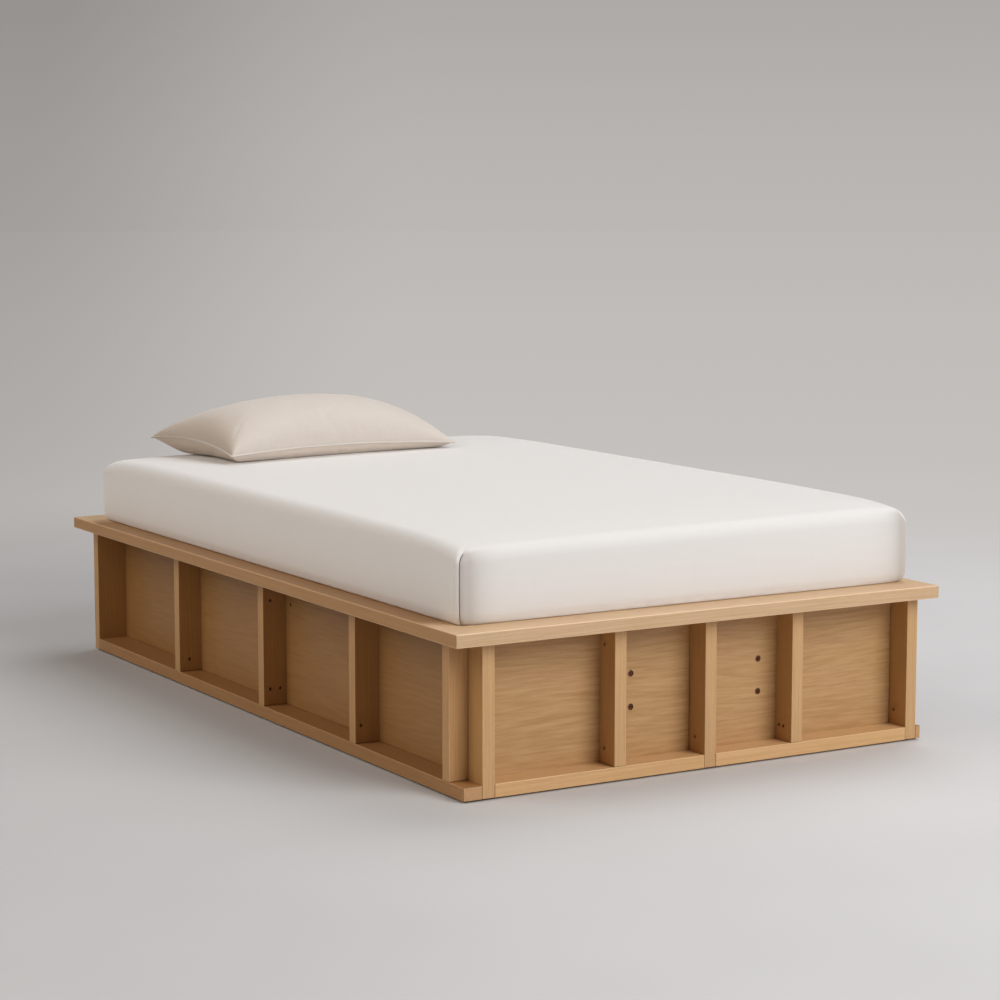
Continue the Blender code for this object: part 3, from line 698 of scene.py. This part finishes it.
columns = 120
rows = 80
bm = bmesh.new()
sheets = {}
for upper in (False, True):
    for i in range(columns + 1):
        for j in range(rows + 1):
            if upper and (i in (0, columns) or j in (0, rows)):
                sheets[upper, i, j] = sheets[False, i, j]
            else:
                place = pillow_point(even_and_close(i, columns), even_and_close(j, rows), upper)
                sheets[upper, i, j] = bm.verts.new(place)
    for i in range(columns):
        for j in range(rows):
            corners = ((i, j), (i + 1, j), (i + 1, j + 1), (i, j + 1))
            around = [sheets[upper, *corner] for corner in corners]
            bm.faces.new(around if upper else around[::-1])
bm.verts.index_update()
seam_points = [sheets[False, i, j].index for i, j in way_round(columns, rows)]
resting = [sheets[False, i, j].index for i in range(1, columns) for j in range(1, rows)
           if min(i, columns - i, j, rows - j) > 20]
case = bpy.data.meshes.new("pillow_case")
bm.to_mesh(case)
bm.free()

linen = Finish("pillow_linen")
threads, slubs = weave(linen, 0.00062, pillow_turn)
yarn = (threads * 0.35 + slubs * 0.65).soft_step(0.25, 0.75)
linen_colour = linen.mix(yarn, (0.600, 0.522, 0.450), (0.705, 0.632, 0.566))
linen_normal = linen.add("SeparateXYZ", inputs={0: linen.add("NewGeometry", output="Normal")})
# Painted shade on the pillow's left end
painted_shade_at_left_end = (0.0 - linen_normal.out("X")).soft_step(0.15, 0.65)
linen_colour = linen.mix(painted_shade_at_left_end, linen_colour, (0.82, 0.77, 0.71), "MULTIPLY")
# Painted light: the pillow's underside is painted lighter
painted_light_underneath = (0.0 - linen_normal.out("Z")).soft_step(0.1, 0.6)
linen_colour = linen.mix(painted_light_underneath, linen_colour, (1.20, 1.18, 1.16), "MULTIPLY")
linen.finish_with(linen_colour, 0.84 + threads * 0.1, threads * 0.6 + slubs * 0.5, 0.00035, 0.6,
                  Sheen_Weight=0.2, Sheen_Roughness=0.5)

pillow_case = new_piece("pillow_case", case, linen)
plumped = fill_out(pillow_case, seam_points + resting, 4.0, 0.003, 20)
tip_places = (0, columns, columns + rows, 2 * columns + rows)
tips = [case.vertices[seam_points[k]].co.copy() for k in tip_places]
for vertex, move in zip(case.vertices, plumped):
    from_tip = min((vertex.co - tip).length for tip in tips)
    vertex.co += capped(move, 0.009) * (1 - ridge(from_tip, 0.22))
    turned = Vector((vertex.co.x - bed_middle.x, vertex.co.y - bed_middle.y))
    mattress_top = bed_floor + cover_height + crown_at(turned.x, turned.y)
    vertex.co.z = max(vertex.co.z, mattress_top + 0.0004)
smooth_case = pillow_case.modifiers.new("smooth_cloth", "SUBSURF")
smooth_case.levels = 1
smooth_case.render_levels = 1
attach(pillow_case, "pillow")
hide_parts("pillow")


def cord_mesh(name, path, radius, sides=10):
    """A thin round cord swept along a closed path."""
    bm = bmesh.new()
    rings = []
    for i, place in enumerate(path):
        ahead = (path[(i + 1) % len(path)] - path[i - 1]).normalized()
        beside = ahead.cross(Vector((0, 0, 1))).normalized()
        above = beside.cross(ahead)
        rings.append([bm.verts.new(place + radius * (math.cos(math.tau * k / sides) * beside
                                                     + math.sin(math.tau * k / sides) * above))
                      for k in range(sides)])
    for ring, following in zip(rings, rings[1:] + rings[:1]):
        for k in range(sides):
            bm.faces.new((ring[k - 1], ring[k], following[k], following[k - 1]))
    mesh = bpy.data.meshes.new(name)
    bm.to_mesh(mesh)
    bm.free()
    return mesh


piping_linen = Finish("piping_linen")
threads, slubs = weave(piping_linen, 0.00062, pillow_turn)
yarn = (threads * 0.4 + slubs * 0.6).soft_step(0.25, 0.75)
piping_colour = piping_linen.mix(yarn, (0.635, 0.565, 0.495), (0.735, 0.665, 0.605))
cord_place = piping_linen.add("TexCoord", output="Object")
cord_x = piping_linen.add("SeparateXYZ", inputs={0: cord_place}).out("X")
# Painted shade on the piping along the left end
painted_shade_on_left_side = 1.0 - cord_x.soft_step(-0.445, -0.405)
piping_colour = piping_linen.mix(painted_shade_on_left_side, piping_colour, (0.80, 0.77, 0.73), "MULTIPLY")
piping_linen.finish_with(piping_colour, 0.84 + threads * 0.1, threads, 0.0003, 0.6,
                         Sheen_Weight=0.2, Sheen_Roughness=0.5)
piping_radius = 0.0027
piping_path = [case.vertices[index].co.copy() for index in seam_points]
piping_mesh = cord_mesh("pillow_piping", piping_path, piping_radius)
pillow_piping = new_piece("pillow_piping", piping_mesh, piping_linen)
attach(pillow_piping, "pillow")


# Studio floor
# A plain pale floor that runs out of sight in every direction, painted darker towards the left
# as painted shade. Far from the bed the camera sees it as a glow in the painted tone of the
# studio behind, with its painted shade, so that no horizon shows.

def studio_shade(nodes, way, to_left):
    """The tone of the studio. The floor runs from 0 to 0.85 of the way, and the wall on to 1."""
    levels = ((0.23, 0.600), (0.285, 0.575), (0.35, 0.552), (0.424, 0.532), (0.49, 0.522),
              (0.63, 0.510), (0.70, 0.496), (0.77, 0.484), (0.835, 0.470), (0.88, 0.458),
              (0.96, 0.422), (1.0, 0.403))
    stops = [(place, (1.044 * level, 0.996 * level, 0.960 * level)) for place, level in levels]
    # Painted shade: the tone darkens further out and up the wall, and more towards the left
    tone = nodes.add("ValToRGB", {"stops": stops}, {0: way})
    share = to_left.soft_step(0.03, 0.20) * (way * 0.6 + 0.5)
    return nodes.mix(share, tone, (0.72, 0.72, 0.72), "MULTIPLY")


floor_finish = Finish("studio_floor")
floor_object = floor_finish.add("TexCoord", output="Object")
floor_place = floor_finish.add("SeparateXYZ", inputs={0: floor_object})
floor_x = floor_place.out("X")
floor_y = floor_place.out("Y")
mottle = floor_finish.speckle(floor_x * 1.3, floor_y * 1.3, 0.0, 2.0)
floor_colour = floor_finish.mix(mottle.soft_step(0.3, 0.7), (0.652, 0.640, 0.633),
                                (0.678, 0.666, 0.658))
# Painted shade: the floor is painted darker towards the left, in place of the lamps' falloff
to_right = (floor_x * 0.861 - floor_y * 0.508).soft_step(-1.6, 1.6)
floor_colour = floor_finish.mix(1.0 - to_right, floor_colour, (0.75, 0.75, 0.75), "MULTIPLY")
floor_finish.finish_with(floor_colour, 0.75 + mottle * 0.1, mottle, 0.0005, 0.2)
floor_distance = (floor_x * floor_x + floor_y * floor_y).math("SQRT")
to_left = (floor_y * 0.508 - floor_x * 0.861) / (floor_distance + 6.5)
far_shade = studio_shade(floor_finish, floor_distance * 0.85 / (floor_distance + 6.0), to_left)
seen = floor_finish.add("LightPath", output="Is Camera Ray")
# Far off, the camera sees the floor as a glow in the painted studio tone
painted_far_glow = floor_finish.add("Emission", inputs={"Color": far_shade, "Strength": 1.0})
near_floor = Wire(floor_finish, floor_finish.shader.outputs[0])
seen_far_off = floor_distance.soft_step(2.0, 4.5) * seen
floor_mix = floor_finish.add("MixShader", inputs={0: seen_far_off, 1: near_floor, 2: painted_far_glow})
floor_output = floor_finish.tree.nodes["Material Output"]
floor_finish.set_input(floor_output, "Surface", floor_mix)

bm = bmesh.new()
bmesh.ops.create_circle(bm, cap_ends=True, segments=96, radius=60.0)
floor_mesh = bpy.data.meshes.new("studio_floor")
bm.to_mesh(floor_mesh)
bm.free()
floor = new_piece("studio_floor", floor_mesh, floor_finish)


# Studio light
# Three very broad soft lamps: the strongest in front of the foot, and weaker ones high on the
# right and on the left. A little even light comes from all round. Their size softens the shadows.

world = bpy.data.worlds.new("studio")
bpy.context.scene.world = world
world.use_nodes = True
studio = Nodes(world.node_tree)
ray = studio.add("LightPath", output="Is Camera Ray")
looking = studio.add("SeparateXYZ", inputs={0: studio.add("TexCoord", output="Generated")})
even_light = studio.add("Background", inputs={"Color": (1.0, 0.95, 0.90), "Strength": 0.18})
# For the camera the world shows the studio's painted tone, with its painted shade; only the even
# light lights the bed
wall = looking.out("Z") * 2.3 + 0.85
wall_left = looking.out("Y") * 0.508 - looking.out("X") * 0.861
wall_shade = studio_shade(studio, wall, wall_left)
far_tone = studio.add("Background", inputs={"Color": wall_shade, "Strength": 1.0})
studio_mix = studio.add("MixShader", inputs={0: ray, 1: even_light, 2: far_tone})
studio.set_input(world.node_tree.nodes["World Output"], "Surface", studio_mix)


def soft_lamp(name, side, distance, direction, share, colour):
    """A square lamp that looks at the bed. A surface that faces it gets that share of light."""
    data = bpy.data.lights.new(name, "AREA")
    data.shape = "SQUARE"
    data.size = side
    data.energy = share * math.pi ** 2 * distance ** 2
    data.color = colour
    lamp = bpy.data.objects.new(name, data)
    bpy.context.scene.collection.objects.link(lamp)
    toward = Vector(direction).normalized()
    lamp.location = toward * distance
    lamp.rotation_euler = toward.to_track_quat("Z", "Y").to_euler()
    lamp.visible_camera = False


soft_lamp("front_lamp", 6.0, 10.0, (0.30, -0.78, 0.54), 0.69, (0.98, 1.0, 1.03))
soft_lamp("right_lamp", 4.5, 7.0, (0.44, 0.24, 0.865), 0.36, (0.97, 1.0, 1.04))
soft_lamp("left_lamp", 5.0, 7.0, (-0.76, 0.04, 0.65), 0.38, (1.0, 0.94, 0.885))


# Camera
# It stands in front of the foot's left corner, above the height of the bed, and looks slightly
# down. Its place, angle and lens come from a fit to the photograph's straight edges.

camera_data = bpy.data.cameras.new("photo_camera")
camera_data.sensor_width = 36.0
camera_data.lens = 91.868
camera = bpy.data.objects.new("photo_camera", camera_data)
bpy.context.scene.collection.objects.link(camera)
camera.location = (-3.2382, -5.6619, 1.3179)
camera.rotation_euler = (math.radians(82.8436), 0.0, math.radians(-30.5241))
bpy.context.scene.camera = camera
bpy.context.scene.view_settings.view_transform = "Standard"
